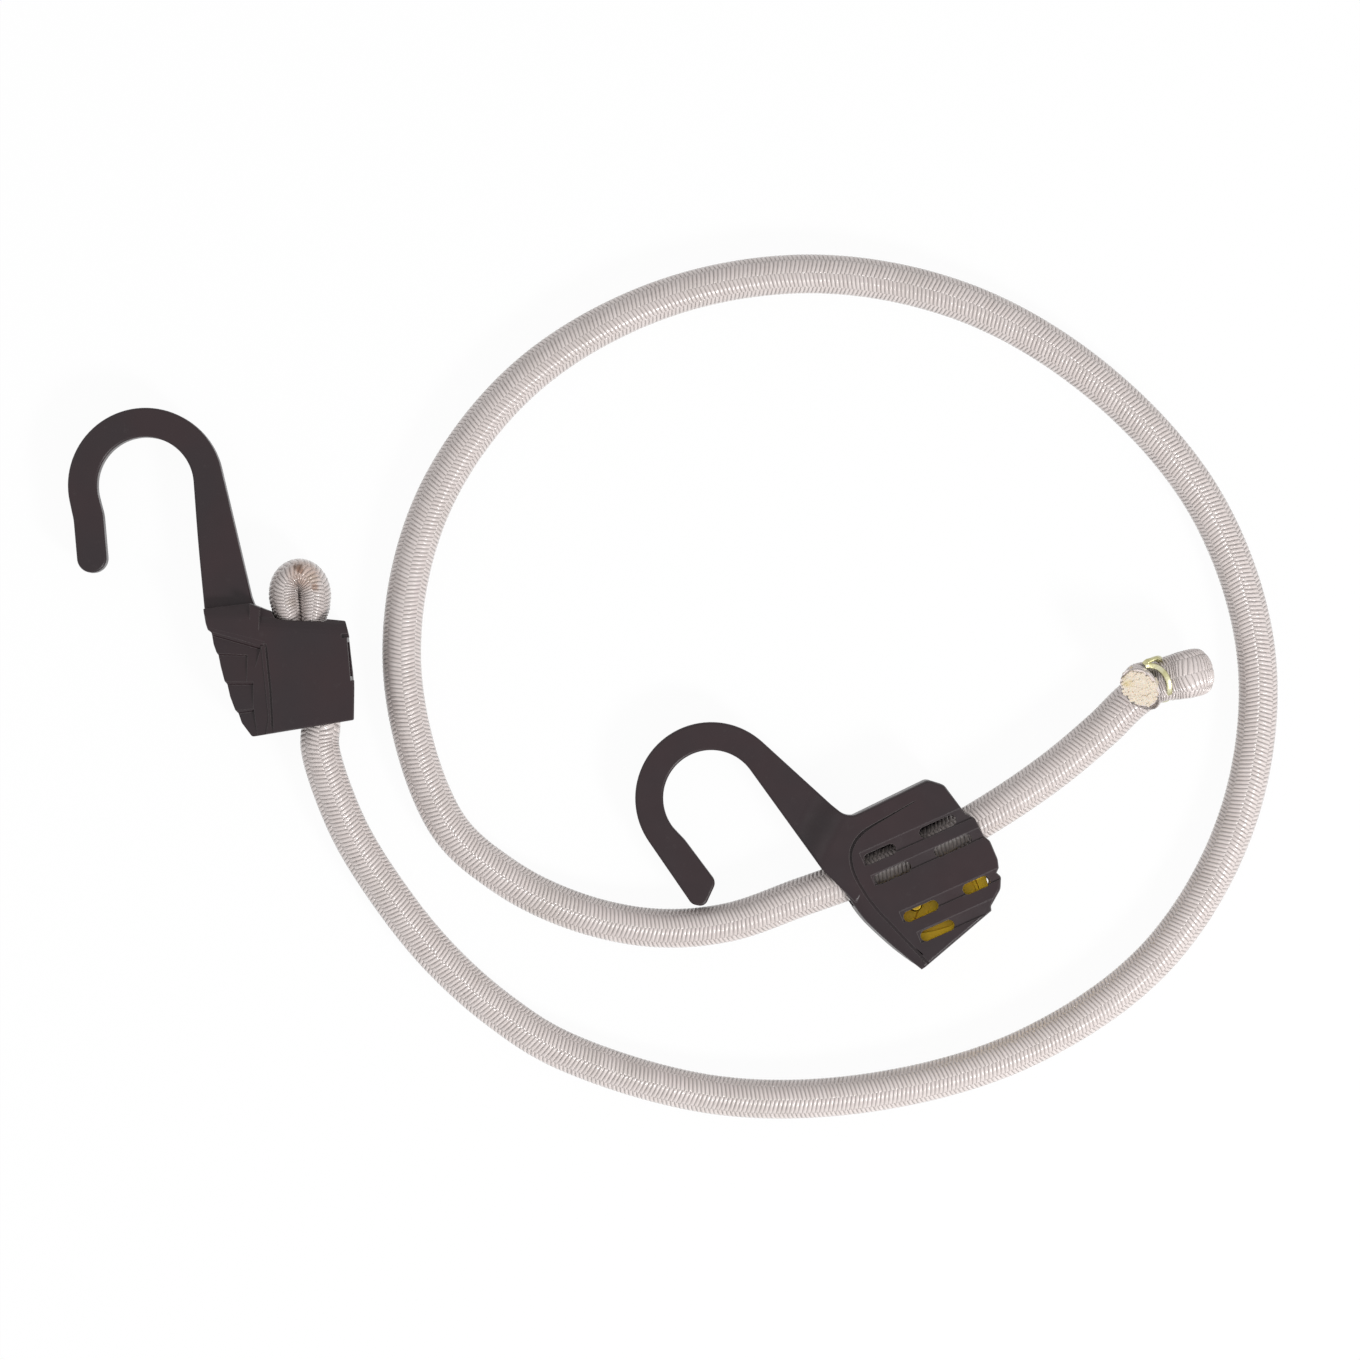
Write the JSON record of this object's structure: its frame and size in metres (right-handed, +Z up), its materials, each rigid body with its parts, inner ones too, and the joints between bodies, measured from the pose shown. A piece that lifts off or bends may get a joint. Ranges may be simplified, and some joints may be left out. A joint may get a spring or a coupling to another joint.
{
  "type": "adjustable bungee cord",
  "caption": "Elastic tie-down cord with a fixed moulded hook at one end and a sliding hook with a cam-lever clamp near the other.",
  "frame": {"origin": "on the surface the object lies on, under the middle of the box round both hooks, the lever and its pin", "axes": "+Z up from that surface, out of the louvred face of the sliding hook; +X along the longer side of the box round the hooks, from the fixed hook towards the sliding one"},
  "size_m": [0.3026, 0.2164, 0.0222],
  "materials": {
    "hook_plastic": "matt, finely textured moulding",
    "lever_plastic": "satin yellow moulding",
    "braid": "fine braided polyester yarn with a slight sheen",
    "rubber_core": "bundle of natural rubber strands",
    "zinc_wire": "yellow zinc plated steel wire",
    "pin_steel": "bright drawn steel"
  },
  "bodies": {
    "cord_and_fixed_hook": {"fixed_hook": "hook_plastic", "loop_sheath": "braid", "loop_core": "rubber_core", "loop_ring": "zinc_wire", "cord_sheath": "braid", "cord_core": "rubber_core", "fold_sheath": "braid", "fold_core": "rubber_core", "fold_ring": "zinc_wire"},
    "sliding_hook": {"clamp_hook": "hook_plastic", "rear_cover": "hook_plastic", "lever_pin": "pin_steel"},
    "lever": {"cam_lever": "lever_plastic"}
  },
  "joints": [
    {"name": "hook_slide", "type": "slide", "parent": "cord_and_fixed_hook", "child": "sliding_hook", "axis": [0.9135, 0.4067, 0], "range_m": [0, 0.015]},
    {"name": "lever_hinge", "type": "hinge", "parent": "sliding_hook", "child": "lever", "pos_m": [0.09514, -0.05382, 0.008], "axis": [0, 0, -1], "range_deg": [0, 50]}
  ]
}
